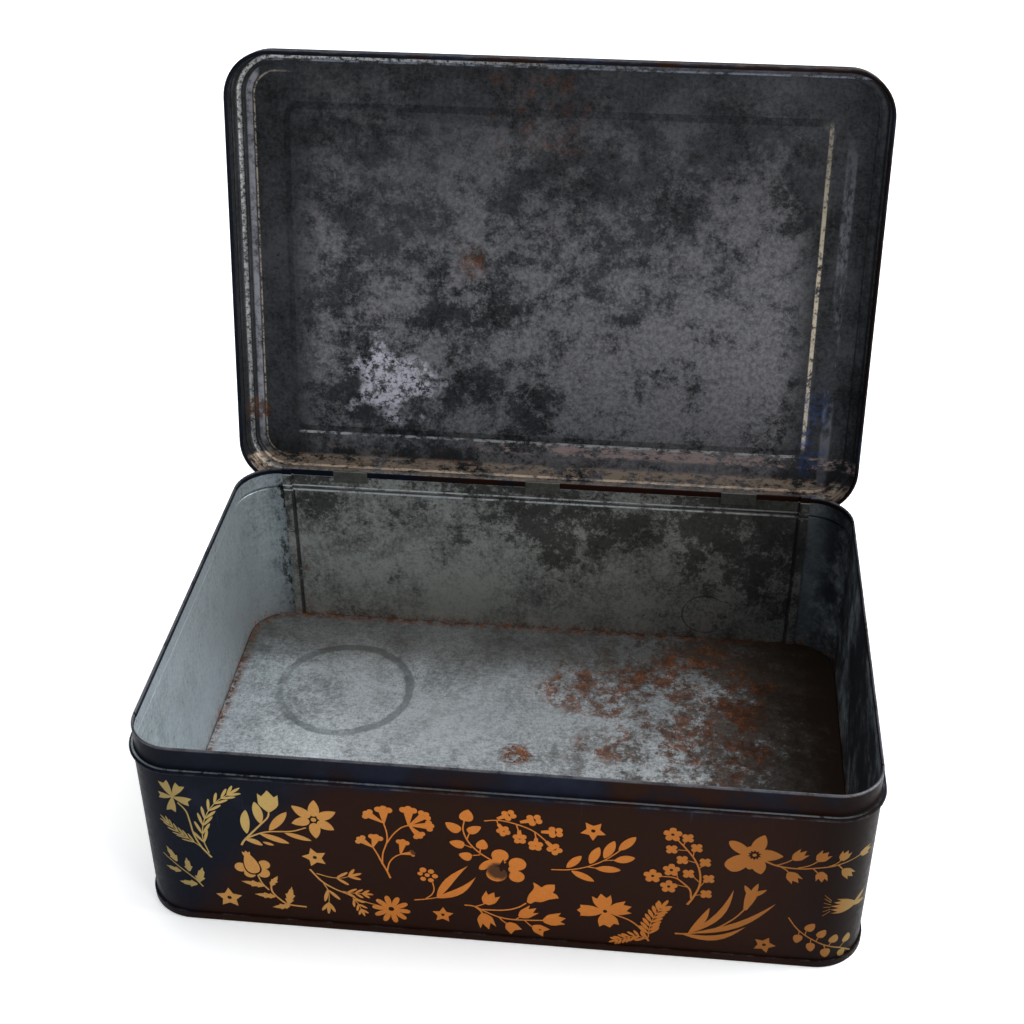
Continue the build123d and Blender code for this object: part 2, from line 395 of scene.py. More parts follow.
def worn_edge(sh, near_edge):
    """Where the paint is rubbed through to grey metal along an edge."""
    return sh.both(near_edge, sh.speckle(0.45, 0.7, 90, 6, 0.7))


def painted_side(sh, facing, z_bare, z_painted):
    """Paint where the sheet faces outwards, and all of a hem or curl that begins between two heights."""
    return sh.either(sh.steps(sh.z, z_bare, z_painted), sh.steps(facing, -0.05, 0.05))


def seam_shadow(sh):
    """Dirt along the two lock seams at the ends of the back panel."""
    line = sh.band(sh.size(sh.x), 0.13, 0.0009)
    return sh.both(line, sh.speckle(0.3, 0.48, 150, 7, 0.7))


def body_wrap_material():
    sh = Shader("japanned_wrap")
    out, facing = sh.outwards()
    pale, dull = (0.52, 0.575, 0.605, 1), (0.085, 0.1, 0.1, 1)
    sh.metal = tin(sh, sh.stretched(1, 1, 0.04), dull, pale, 0.46, 0.15)
    dirt = coat(0.03, 0.028, 0.022, 0.2, 0.6, 0.4)
    corner = sh.both(sh.steps(sh.x, -0.146, -0.136), sh.steps(sh.x, 0.0, -0.1))
    blots = sh.speckle(0.5, 0.57, 170, 9, 0.8, sh.stretched(1, 1, 0.6))
    sh.lay(dirt, corner, blots)
    sh.lay(dirt, seam_shadow(sh), 0.9)
    # Painted shade: a dark film over the inside of the right wall and the corners next to it.
    film = sh.both(sh.speckle(0.2, 0.55, 30, 10, 0.76), sh.steps(sh.x, 0.12, 0.15))
    sh.lay(coat(0.022, 0.024, 0.028, 0.2, 0.6, 0.5), film)
    foot = sh.both(sh.steps(sh.z, 0.016, 0.005), sh.speckle(0.5, 0.62, 190, 8, 0.78))
    sh.lay(rust(sh), foot)
    painted = painted_side(sh, facing, HEM_BOTTOM - EDGE_BLEND, HEM_BOTTOM)
    crest = sh.steps(out, BEAD_OUT - 4e-4, BEAD_OUT)
    paint = sh.over(worn_edge(sh, crest), enamel(sh), BARE_GREY)
    # Painted highlight: a broken lighter grey line along the top of the rim.
    rim = sh.both(sh.steps(sh.z, 0.0972, 0.0981), sh.speckle(0.32, 0.56, 120, 8, 0.78))
    paint = sh.over(sh.both(rim, 0.8), paint, coat(0.11, 0.11, 0.12, 0.4, 0.4, 0.0))
    return sh.finish(sh.over(painted, sh.metal, paint), 0.00006, PAINT_SHEEN)


def back_panel_material():
    sh = Shader("japanned_back")
    _, facing = sh.outwards()
    pale, dull = (0.5, 0.495, 0.455, 1), (0.07, 0.071, 0.066, 1)
    sh.metal = tin(sh, sh.stretched(1, 1, 0.3), dull, pale, 0.49, 0.11)
    height = sh.both(sh.steps(sh.z, 0.02, 0.085), 0.09)
    drift = sh.add(sh.noise(42, 13, 0.84), height)
    drift = sh.add(drift, sh.both(sh.steps(sh.x, 0.03, 0.14), 0.06))
    dirt = coat(0.03, 0.029, 0.026, 0.3, 0.6, 0.4)
    sh.lay(dirt, sh.steps(drift, 0.545, 0.615), 0.85)
    sh.lay(dirt, seam_shadow(sh), 0.9)
    streak = sh.both(sh.patch(0.0015, 0.003, 200, x=-0.126), sh.speckle(0.5, 0.6, 160, 6))
    sh.lay(rust(sh), streak, 0.5)
    ring = sh.both(sh.band(sh.away(x=0.087, z=0.02), 0.012, 0.0005), sh.speckle(0.35, 0.6, 70))
    sh.lay(dirt, ring, 0.7)
    foot = sh.both(sh.steps(sh.z, 0.012, 0.004), sh.speckle(0.42, 0.56, 150, 8, 0.78))
    sh.lay(rust(sh), foot, 0.8)
    # Painted highlight: bright tin in two broken lines along the bead's groove, weaker towards the right.
    bead_highlight = sh.either(sh.band(sh.z, BEAD_Z - 0.001, 0.0006), sh.band(sh.z, BEAD_Z + 0.0022, 0.0004))
    bead_highlight = sh.both(bead_highlight, sh.speckle(0.4, 0.52, 75, 9, 0.8))
    bead_highlight = sh.both(bead_highlight, sh.mix(sh.steps(sh.x, 0.06, 0.13), 1.0, 0.3))
    sh.lay(bright_tin_highlight(sh), bead_highlight)
    # Painted highlight: a broken bright line just under the hem.
    under_hem_highlight = sh.both(sh.steps(sh.z, 0.0948, 0.0951), sh.speckle(0.4, 0.55, 90, 8, 0.75))
    sh.lay(bright_tin_highlight(sh), under_hem_highlight, 0.7)
    painted = painted_side(sh, facing, HEM_BOTTOM - EDGE_BLEND, HEM_BOTTOM)
    return sh.finish(sh.over(painted, sh.metal, enamel(sh)), 0.00006, PAINT_SHEEN)


def base_pan_material():
    sh = Shader("tin_floor")
    out, _ = sh.outwards()
    pale, dull = (0.64, 0.685, 0.72, 1), (0.12, 0.131, 0.134, 1)
    sh.metal = tin(sh, sh.stretched(0.25, 1, 1), dull, pale, 0.49, 0.11)
    fine = sh.both(sh.speckle(0.5, 0.6, 900, 5, 0.75), 0.55)
    sh.lay(coat(0.17, 0.175, 0.17, 0.5, 0.55, 0.3), fine)
    wobble = sh.sway(0.004, 90)
    ring = sh.band(sh.add(sh.away(x=-0.096, y=0.046), wobble), 0.0335, 0.0022)
    ring = sh.both(ring, sh.speckle(0.24, 0.52, 45, 3))
    sh.lay(coat(0.085, 0.1, 0.105, 0.5, 0.6, 0.3), ring, 0.7)
    shade = sh.steps(sh.ragged(sh.y, 0.05, 40, 9, 0.75), 0.072, 0.11)
    sh.lay(coat(0.042, 0.036, 0.028, 0.3, 0.6, 0.4), shade, 0.75)
    grime = sh.both(sh.speckle(0.51, 0.59, 55, 13, 0.85), sh.speckle(0.35, 0.6, 12, 2))
    sh.lay(coat(0.07, 0.066, 0.058, 0.3, 0.6, 0.4), grime, 0.4)
    drift = sh.add(sh.noise(60, 12, 0.84), sh.both(sh.steps(sh.x, 0.05, 0.13), 0.12))
    stain = sh.both(sh.steps(sh.x, -0.02, 0.06), sh.steps(drift, 0.49, 0.57))
    sh.lay(coat(0.048, 0.034, 0.025, 0.2, 0.7, 0.4), stain, 0.85)
    wide, small = sh.patch(0.05, 0.08, 26, x=0.076, y=0.04), sh.patch(0.02, 0.045, 40, x=0.022, y=0.06)
    rusty = sh.both(sh.either(wide, small), sh.speckle(0.47, 0.53, 80, 13, 0.86))
    edge_rust = sh.both(sh.steps(out, -0.006, -0.001), sh.speckle(0.43, 0.54, 280, 8, 0.8))
    specks = sh.both(sh.speckle(0.5, 0.62, 45), sh.speckle(0.6, 0.66, 360, 6, 0.75))
    drop = sh.both(sh.patch(0.008, 0.012, 90, x=-0.002, y=0.007), sh.speckle(0.42, 0.52, 200, 8, 0.8))
    marks = sh.either(sh.both(rusty, 0.9), sh.both(specks, 0.6))
    marks = sh.either(marks, edge_rust, drop)
    sh.lay(rust(sh), marks)
    dark = sh.steps(sh.ragged(sh.x, 0.11, 50, 12, 0.82), 0.13, 0.205)
    sh.lay(coat(0.019, 0.0125, 0.009, 0.1, 0.75, 0.5), dark)
    crimp = sh.steps(out, WALL_OUT, WALL_OUT + 2e-4)
    rim = sh.over(worn_edge(sh, sh.steps(sh.z, 0.0035, 0.0039)), enamel(sh), BARE_GREY)
    return sh.finish(sh.over(crimp, sh.metal, rim), 0.00008, PAINT_SHEEN)


def lid_rim_glints(sh, out):
    """Painted highlights along the lid's skirt, shoulder and margin, brightest on the left."""
    left = sh.steps(sh.x, 0.1, -0.12)
    speckle = sh.speckle(0.42, 0.56, 420, 8, 0.8)
    shoulder = sh.both(sh.band(out, -0.0014, 0.001), speckle, left)
    sh.lay(bright_tin_highlight(sh), shoulder, 0.45)
    side = sh.steps(sh.x, -0.143, -0.1455)
    strip = sh.both(sh.band(out, -0.006, 0.0015), side, sh.speckle(0.36, 0.56, 110, 10, 0.84))
    sh.lay(coat(0.44, 0.44, 0.48, 0.9, 0.4, 0.6), strip, 0.8)
    step = sh.both(sh.band(out, -0.0085, 0.0004), speckle, sh.steps(sh.x, -0.125, -0.142))
    sh.lay(coat(0.5, 0.43, 0.34, 0.7, 0.45, 0.6), step, 0.8)


def lid_right_glints(sh):
    """Painted reflections: a gold one on the slope of the sunk panel on the right and bluish ones on the margin beside
    it.
    """
    length = sh.steps(sh.size(sh.y), 0.084, 0.078)
    length = sh.both(length, sh.mix(sh.steps(sh.y, -0.08, 0.0), 0.35, 0.9))
    slope = sh.both(sh.band(sh.x, 0.1303, 0.001), length, sh.speckle(0.42, 0.52, 170, 9, 0.82))
    sh.lay(coat(0.46, 0.4, 0.31, 0.8, 0.45, 0.5), slope)
    cloud = sh.speckle(0.46, 0.58, 60, 9, 0.8, sh.stretched(1, 0.4, 1))
    margin = sh.both(sh.band(sh.x, 0.141, 0.0025), cloud, sh.steps(sh.y, -0.085, -0.045))
    sh.lay(coat(0.17, 0.175, 0.2, 0.6, 0.5, 0.5), margin, 0.7)
    low = sh.both(sh.steps(sh.y, 0.035, 0.08), sh.speckle(0.5, 0.6, 110, 8, 0.8))
    blue = sh.both(sh.band(sh.x, 0.135, 0.006), low)
    sh.lay(coat(0.045, 0.075, 0.19, 0.6, 0.45, 0.5), blue, 0.7)


def lid_hinge_side(sh):
    """Beige and pinkish speckled streaks on the margin next to the hinge, and a painted highlight line along it."""
    speckle = sh.noise(300, 10, 0.82, sh.stretched(0.5, 1, 1))
    patches = sh.mix(0.68, sh.noise(40, 4), speckle)
    row = sh.both(sh.band(sh.y, 0.101, 0.004), sh.steps(patches, 0.47, 0.52))
    sh.lay(coat(0.48, 0.38, 0.295, 0.6, 0.5, 0.6), row, 0.9)
    right = sh.steps(sh.x, -0.045, -0.02)
    row = sh.both(sh.band(sh.y, 0.0882, 0.003), right, sh.steps(patches, 0.48, 0.53))
    sh.lay(coat(0.48, 0.36, 0.33, 0.6, 0.5, 0.6), row, 0.85)
    # Painted highlight: a broken bright line along the margin next to the hinge.
    line = sh.both(sh.band(sh.y, 0.0848, 0.0007), sh.steps(speckle, 0.47, 0.55))
    line = sh.both(line, sh.steps(sh.size(sh.x), 0.131, 0.126))
    sh.lay(bright_tin_highlight(sh), line, 0.7)
    flecks = sh.both(sh.steps(sh.y, 0.084, 0.098), sh.speckle(0.55, 0.61, 210, 9, 0.8))
    sh.lay(rust(sh), flecks, 0.7)


def lid_material():
    sh = Shader("japanned_lid", turned=True)
    out, facing = sh.outwards()
    up = sh.split(sh.normal)[2]
    pale, dull = (0.062, 0.064, 0.069, 1), (0.012, 0.0125, 0.0135, 1)
    sh.metal = tin(sh, sh.stretched(1, 0.3, 1), dull, pale, 0.5, 0.13)
    from_hinge = sh.steps(sh.ragged(sh.y, 0.08, 18), -0.075, 0.085)
    right = sh.both(sh.steps(sh.x, -0.06, 0.06), sh.steps(sh.y, -0.05, 0.05))
    drift = sh.add(sh.noise(36, 13, 0.86), sh.both(right, 0.06))
    middle = sh.both(sh.steps(sh.size(sh.x), 0.133, 0.112), sh.mix(from_hinge, 0.12, 0.9))
    clouds = sh.both(sh.steps(drift, 0.455, 0.565), middle)
    speckle = sh.speckle(0.36, 0.64, 420, 7, 0.78)
    rubbed = sh.mix(speckle, (0.125, 0.122, 0.128, 1), (0.255, 0.25, 0.264, 1))
    sh.lay(Finish(rubbed, 0.6, 0.5, 0.6), clouds)
    worn = sh.patch(0.02, 0.03, 55, x=-0.08, y=0.058)
    worn = sh.both(worn, sh.speckle(0.46, 0.53, 260, 10, 0.84))
    sh.lay(coat(0.55, 0.53, 0.6, 0.4, 0.45, 0.7), worn)
    lid_rim_glints(sh, out)
    lid_right_glints(sh)
    lid_hinge_side(sh)
    # Painted highlight: a dotted bluish line along the far edge of the lid.
    far_edge_highlight = sh.both(sh.band(sh.y, -0.1035, 0.0006), sh.speckle(0.44, 0.56, 130, 8, 0.8))
    sh.lay(coat(0.3, 0.33, 0.42, 0.8, 0.45, 0.6), far_edge_highlight, 0.6)
    spot = sh.both(sh.patch(0.007, 0.008, 160, x=-0.039, y=-0.008), sh.speckle(0.44, 0.52, 330, 7, 0.8))
    top_rust = sh.both(sh.patch(0.03, 0.03, x=-0.004, y=-0.088), sh.speckle(0.5, 0.62, 160, 7, 0.7))
    side_rust = sh.both(sh.patch(0.006, 0.006, x=-0.151, y=0.073), sh.speckle(0.4, 0.5, 300))
    marks = sh.either(sh.both(spot, 0.6), sh.both(top_rust, 0.3), sh.both(side_rust, 0.7))
    sh.lay(rust(sh), marks)
    rounds = sh.either(sh.patch(0.0032, 0.001, x=0.123, y=-0.036), sh.patch(0.003, 0.001, x=0.138, y=-0.038))
    sh.lay(coat(0.02, 0.02, 0.024, 0.3, 0.6, 0.4), rounds, 0.7)
    painted = painted_side(sh, sh.add(facing, up), CURL_TOP, CURL_TOP - EDGE_BLEND)
    edge = sh.both(sh.steps(out, 0.0016, 0.0022), sh.band(sh.z, 0.0885, 0.0013))
    paint = sh.over(worn_edge(sh, sh.both(edge, 0.8)), enamel(sh), BARE_GREY)
    return sh.finish(sh.over(painted, sh.metal, paint), 0.00006, PAINT_SHEEN)


def strap_material():
    """Dull tin of the straps and of the wire they hold."""
    sh = Shader("dull_strap")
    metal = tin(sh, sh.stretched(0.1, 1, 1), (0.038, 0.036, 0.03, 1), (0.15, 0.145, 0.125, 1), 0.48)
    spots = sh.speckle(0.6, 0.68, 400, 6, 0.7)
    return sh.finish(sh.over(spots, metal, rust(sh)), 0.00005)


def ink_material():
    """Printing ink, orange in the middle of the front, rubbed through in places; gold towards the left as a painted
    reflection and darker towards the right end as painted shade.
    """
    sh = Shader("printed_ink")
    front = sh.steps(sh.y, -0.06, -0.095)
    # Painted reflection: the ink turns gold towards the left.
    left = sh.either(painted_reflection_zone(sh, 0.03), sh.both(sh.steps(sh.x, -0.04, -0.08), 0.5))
    # Painted shade: the orange darkens towards the right end of the front.
    right = sh.steps(sh.x, 0.134, 0.15)
    right_shade = sh.steps(sh.x, 0.02, 0.128)
    far_left = sh.steps(sh.x, -0.116, -0.136)
    grain = sh.noise(700, 5, 0.7)
    orange = sh.mix(grain, (0.36, 0.11, 0.015, 1), (0.6, 0.19, 0.029, 1))
    gold = sh.mix(grain, (0.34, 0.225, 0.06, 1), (0.5, 0.35, 0.125, 1))
    gold = sh.mix(sh.both(far_left, front), gold, (0.27, 0.195, 0.068, 1))
    orange = sh.mix(sh.both(right_shade, front), orange, (0.22, 0.078, 0.013, 1))
    orange = sh.mix(sh.both(right, front), orange, (0.17, 0.105, 0.028, 1))
    print_colour = sh.mix(left, orange, gold)
    disc_rub = sh.patch(0.0048, 0.002, 200, x=0.0005, z=0.0428)
    leaf_rub = sh.patch(0.0022, 0.001, 200, x=-0.034, z=0.0508)
    rubs = sh.both(sh.either(disc_rub, leaf_rub), front)
    pits = sh.speckle(0.7, 0.76, 330, 5, 0.7)
    worn = sh.either(sh.both(rubs, 0.9), sh.both(pits, 0.8))
    ink = Finish(print_colour, 0.15, sh.mix(grain, 0.42, 0.6), grain)
    bare = coat(0.015, 0.008, 0.004, 0.0, 0.45, grain)
    return sh.finish(sh.over(worn, ink, bare), 0.00002, INK_SHEEN)


# ---------------------------------------------------------------- printed motifs, in millimetres on the flat


def smooth_line(points, count=10):
    """A smooth curve through the points."""
    ends = [2 * points[0] - points[1], *points, 2 * points[-1] - points[-2]]
    line = []
    for a, b, c, d in zip(ends, ends[1:], ends[2:], ends[3:]):
        for k in range(count):
            t = k / count
            bend = (2 * a - 5 * b + 4 * c - d) * t * t + (3 * b - a - 3 * c + d) * t**3
            line.append(b + ((c - a) * t + bend) / 2)
    return line + [points[-1]]


def stem(start, end, *points):
    """A stroke through the points that tapers from one width to another."""
    line = smooth_line([Vector(p) for p in points], 6)
    left, right = [], []
    for k, here in enumerate(line):
        run = (line[min(k + 1, len(line) - 1)] - line[max(k - 1, 0)]).normalized()
        share = k / (len(line) - 1)
        side = Vector((-run.y, run.x)) * (start + (end - start) * share) * STROKE_WEIGHT / 2
        left.append(here + side)
        right.append(here - side)
    return [left + right[::-1]]


def twigs(start, end, *lines):
    """Stems of one thickness."""
    return [outline for line in lines for outline in stem(start, end, *line)]


def corners(*runs):
    """An outline of smooth runs that meet in sharp corners."""
    return [[point for run in runs for point in smooth_line([Vector(p) for p in run], 5)[:-1]]]


def along(base, tip, profile):
    """An outline given by (fraction along, distance across) points on the way from base to tip."""
    base, tip = Vector(base), Vector(tip)
    run = tip - base
    side = Vector((-run.y, run.x)).normalized()
    return [base + run * t + side * v for t, v in profile]


def leaf(base, tip, width, blunt_base=0.8, blunt_tip=0.8, bow=0.0):
    """A leaf or petal.  A smaller bluntness makes that end rounder, bow curves the leaf to its left."""
    peak = blunt_base / (blunt_base + blunt_tip)
    full = peak**blunt_base * (1 - peak) ** blunt_tip
    upper, lower = [], []
    for k in range(LEAF_STEPS + 1):
        t = (1 - cos(pi * k / LEAF_STEPS)) / 2
        half = LEAF_WEIGHT * width / 2 * t**blunt_base * (1 - t) ** blunt_tip / full
        middle = bow * sin(pi * t)
        upper.append((t, middle + half))
        lower.append((t, middle - half))
    return [along(base, tip, upper + lower[-2:0:-1])]


def disc(x, y, radius, count=16):
    angles = [2 * pi * k / count for k in range(count)]
    return [[Vector((x + radius * cos(a), y + radius * sin(a))) for a in angles]]


def star(x, y, radius, turn, inner=0.52, points=5):
    """A pointed star whose first point is at an angle of turn degrees."""
    outline = []
    for k in range(2 * points):
        reach = radius if k % 2 == 0 else radius * inner
        angle = radians(turn) + pi * k / points
        outline.append(Vector((x + reach * cos(angle), y + reach * sin(angle))))
    return [outline]


def cup(base, tip, width, teeth, depth, neck, belly, flare=1.0):
    """A forked petal, bud or bell: narrow at its base, full at its belly, toothed at its end."""
    side = []
    for k in range(8):
        t = k / 7 * (1 - depth * 0.5)
        swell = neck + (1 - neck) * sin(pi / 2 * min(1.0, t / belly))
        side.append((t, width / 2 * swell))
    rim = []
    for k in range(2 * teeth - 1):
        across = 1 - k / (teeth - 1)
        high = 1.0 - 0.12 * abs(across) if k % 2 == 0 else 1 - depth
        rim.append((high, width / 2 * flare * across))
    return [along(base, tip, side + rim + [(t, -v) for t, v in side[::-1]])]


def jagged(base, tip, width, teeth=3):
    """A holly-like leaf with forward-pointing teeth."""
    upper = [(0.0, width * 0.1)]
    for k in range(teeth):
        t = (k + 0.9) / (teeth + 0.6)
        reach = width / 2 * sin(pi * min(t + 0.08, 0.92))
        upper.append((t, reach))
        upper.append((t + 0.03, reach * 0.62))
    lower = [(t, -v) for t, v in upper[::-1]]
    return [along(base, tip, upper + [(1.0, 0.0)] + lower)]


def lobed(base, tip, foot, mouth, half, lobe, middles):
    """A tube, given by half its width at the foot and at the mouth, and its round lobes."""
    outlines = [along(base, tip, [(0, foot), (mouth, half), (mouth, -half), (0, -foot)])]
    for x, y in along(base, tip, middles):
        outlines += disc(x, y, lobe)
    return outlines


def trumpet(base, tip, width):
    """A tube opening into three round lobes."""
    middles = ((0.8, width * 0.3), (0.88, 0.0), (0.8, -width * 0.3))
    return lobed(base, tip, 0.35, 0.75, width * 0.3, width * 0.22, middles)


def blossom(base, tip, width):
    """A short tube and four round petals."""
    middles = ((0.48, width * 0.28), (0.48, -width * 0.28), (0.78, width * 0.2), (0.78, -width * 0.2))
    return lobed(base, tip, 0.7, 0.6, width * 0.22, width * 0.24, middles)


def rosette(x, y, radius, petals, turn, width, start, *bluntness):
    """Petals round a middle."""
    flower = []
    middle = Vector((x, y))
    for k in range(petals):
        angle = radians(turn) + 2 * pi * k / petals
        ray = Vector((cos(angle), sin(angle)))
        flower += leaf(middle + ray * radius * start, middle + ray * radius, radius * width, *bluntness)
    return flower


def spray(points, pairs, length, width, spread, first):
    """A stem with pairs of leaflets that point forwards and one more at its end."""
    line = smooth_line([Vector(p) for p in points], 8)
    marks = stem(0.7, 0.4, *points)
    for k in range(pairs):
        spot = first + (1 - first) * k / max(pairs - 1, 1)
        index = min(int(spot * (len(line) - 1)), len(line) - 2)
        run = (line[index + 1] - line[index]).normalized()
        for sign in (-1, 1):
            ray = Matrix.Rotation(radians(spread) * sign, 2) @ run
            marks += leaf(line[index], line[index] + ray * length * (1 - 0.25 * spot), width, 0.8, 0.6)
    run = (line[-1] - line[-2]).normalized()
    return marks + leaf(line[-1] - run, line[-1] + run * length * 0.8, width, 0.8, 0.6)


def several(shape, rows, *rest):
    """One kind of outline drawn for each row of values, all with the same last values."""
    return [outline for row in rows for outline in shape(*row, *rest)]


# Each motif is a list of (outlines, inked) layers, painted in order.


def cornflower():
    middle = (-134.9, 73.6)
    petals = several(cup, (
        (middle, (-138.8, 83.3), 4.2), (middle, (-130.3, 81.8), 4.2), (middle, (-126.6, 70.6), 4.4),
        (middle, (-136.6, 64), 4), (middle, (-142, 73.6), 3.4),
    ), 2, 0.24, 0.08, 0.8)
    stalk = stem(0.8, 1.1, (-133, 70.5), (-130, 66), (-129, 60), (-128, 52), (-125.4, 45), (-121.8, 39.5))
    ear = [(-121.8, 39.5), (-125.4, 45), (-130, 49.2), (-134.6, 53.2), (-138.6, 57.6)]
    tall_ear = [(-122.6, 42), (-124.4, 50), (-123.6, 58), (-120.8, 66), (-116.2, 72.8), (-110.8, 77.4)]
    ears = spray(ear, 6, 6.4, 0.9, 24, 0.42) + spray(tall_ear, 8, 8.4, 1.5, 25, 0.16)
    return [(petals + stalk + ears, True)]


def tulip():
    marks = several(stem, (
        (1.3, 1, (-108, 48.4), (-106, 52), (-99, 61), (-95.2, 66), (-94.3, 70.5)),
        (1.1, 0.8, (-106, 52.4), (-97, 57.2), (-86, 58.8), (-79.3, 61.6)),
    ))
    marks += cup((-94.4, 69.2), (-94.2, 81.4), 8.6, 3, 0.3, 0.16, 0.42, 1.22)
    marks += several(leaf, (
        ((-105, 55.5), (-104.4, 69.2), 4.6, 0.8, 0.8, 0.5),
        ((-98.6, 62), (-100.2, 74.3), 4.8, 0.8, 0.8, -0.2), ((-95.2, 58.3), (-87, 69.8), 4.6),
        ((-106, 52.2), (-98.8, 49.2), 3.2, 0.8, 0.8, 0.5), ((-98.6, 51.2), (-93.8, 49.8), 1.8),
        ((-99.4, 56), (-87.2, 51.6), 3.6), ((-88.8, 57.6), (-77.5, 54.2), 3),
    ))
    tips = ((-75, 77.8), (-66.2, 72), (-67.4, 61.6), (-75.4, 55.8), (-85.2, 63.6), (-84.6, 73.8))
    middle = Vector((-75.8, 66.6))
    for tip in tips:
        ray = (Vector(tip) - middle).normalized()
        marks += leaf(middle + ray * 1.9, tip, 5.6, 0.5, 0.85)
    return [(marks + disc(-75.8, 66.6, 1.15), True)]


def holly_sprig():
    marks = stem(0.6, 0.8, (-144, 38), (-138.2, 33.4), (-131, 26), (-127.5, 21))
    marks += several(jagged, (
        ((-137.6, 35.2), (-141.6, 43.2), 4.2), ((-136.4, 29.6), (-143.4, 30.6), 3.6),
        ((-132.6, 29.9), (-133.2, 38.2), 3.8), ((-129.2, 23.6), (-126.6, 32.9), 4.8),
        ((-130, 22.2), (-137.8, 23.2), 4.4),
    ), 2)
    return [(marks, True)]


def little_star(x, y, radius, turn):
    return [(star(x, y, radius, turn), True), (disc(x, y, radius * 0.17, 10), False)]


def pomegranate():
    petals = several(disc, (
        (-109.6, 35, 2.7), (-105.9, 31.7, 2.6), (-99.9, 32.5, 2.8), (-99.2, 37.6, 2.6),
    ))
    bud = leaf((-103.6, 31.9), (-106.6, 44.6), 7.4, 0.42, 0.9)
    gap = leaf((-103.4, 31), (-106.6, 45.2), 8.9, 0.42, 0.9)
    crown = cup((-106.2, 41.2), (-106.6, 45.2), 3.4, 3, 0.3, 0.35, 0.6)
    greenery = several(stem, (
        (0.8, 1, (-102.6, 31), (-101, 26), (-98.4, 22.2)),
        (1, 1.2, (-96.8, 28), (-97.2, 22), (-94.6, 17.6), (-90.4, 14.2), (-82.6, 13.5)),
    ))
    greenery += several(jagged, (
        ((-100.4, 24.6), (-110.2, 26.4), 4.2), ((-97.4, 25), (-93.8, 31.4), 3.4),
        ((-96, 18.4), (-105, 19), 3.8), ((-90.4, 14.6), (-88.2, 25.4), 4.6),
        ((-90, 13.2), (-97.8, 11.6), 3.8),
    ))
    return [(petals, True), (gap, False), (bud + crown + greenery, True)]


def daisy_branch():
    marks = stem(1.1, 0.7, (-79.4, 37), (-75, 30.6), (-70, 26.6), (-64, 23.6), (-58, 20.2), (-50.6, 18))
    marks += several(spray, (
        ([(-76.8, 34.8), (-71, 33.2), (-66, 33.2), (-62.6, 34.6)], 2, 7.4, 1.7, 36, 0.5),
        ([(-74, 29), (-72.4, 25), (-72.2, 21), (-72.5, 17)], 2, 8.4, 1.8, 27, 0.32),
        ([(-66, 25), (-62, 24.6), (-57, 24.6)], 3, 5.4, 1.4, 36, 0.3),
        ([(-61.8, 21.4), (-59.6, 18), (-58.4, 14.6)], 3, 5.2, 1.4, 34, 0.1),
    ))
    marks += rosette(-45.3, 16.4, 8.3, 10, 103, 0.36, 0.1, 0.7, 0.4)
    return [(marks + disc(-45.3, 16.4, 3), True), (disc(-45.3, 16.6, 1.3, 10), False)]


def trumpet_branch():
    marks = several(stem, (
        (1.2, 0.8, (-44.8, 35.6), (-46.2, 40), (-48.2, 45), (-50, 50), (-51.7, 53.8)),
        (0.9, 0.8, (-47.9, 43.5), (-47.4, 50), (-45.4, 57), (-45.2, 62), (-46.3, 68)),
        (0.8, 0.8, (-45.4, 56.4), (-42.6, 61.6), (-39, 66), (-35.6, 67.8)),
        (0.9, 0.8, (-46, 39.6), (-44.8, 45), (-42.4, 48.6), (-39.6, 50.6)),
    ))
    marks += several(trumpet, (
        ((-46.5, 68), (-54.4, 73.4), 6), ((-46.2, 67.6), (-46, 77.4), 7.2),
        ((-35.9, 67.8), (-35.6, 78.4), 7.2), ((-35.5, 67.8), (-27.4, 75.6), 6.2),
        ((-35.5, 67.6), (-25.2, 68.4), 6.2), ((-35.5, 67.4), (-30.6, 61), 5.6),
        ((-51.7, 53.4), (-57.8, 58.2), 5.6), ((-51.5, 53.4), (-49.6, 60.6), 6.2),
        ((-39.8, 50.8), (-38.4, 59.2), 5.6), ((-39.6, 50.6), (-33.6, 51.8), 3.8),
    ))
    return [(marks, True)]


def berry_cluster():
    marks = several(disc, (
        (-30.7, 42.1, 1.5), (-27.3, 41.5, 1.35), (-32, 39.8, 1.15), (-29, 39.2, 1.1),
        (-25.7, 38.9, 1.3), (-30.8, 36.8, 1.25), (-27.5, 36.3, 1.25),
    ), 12)
    marks += several(stem, (
        (0.7, 0.8, (-26.8, 35), (-26.3, 31), (-27.4, 27.6), (-30, 24.8)),
        (0.9, 0.7, (-35, 23.4), (-30, 24.5), (-24.6, 26.2)),
    ))
    marks += several(leaf, (
        ((-25.2, 25.8), (-11.4, 46.8), 4.4, 0.8, 1.3, 1.4),
        ((-25.2, 25.8), (-8.2, 40.4), 4.2, 0.8, 1.3, -2.4),
    ))
    return [(marks, True)]


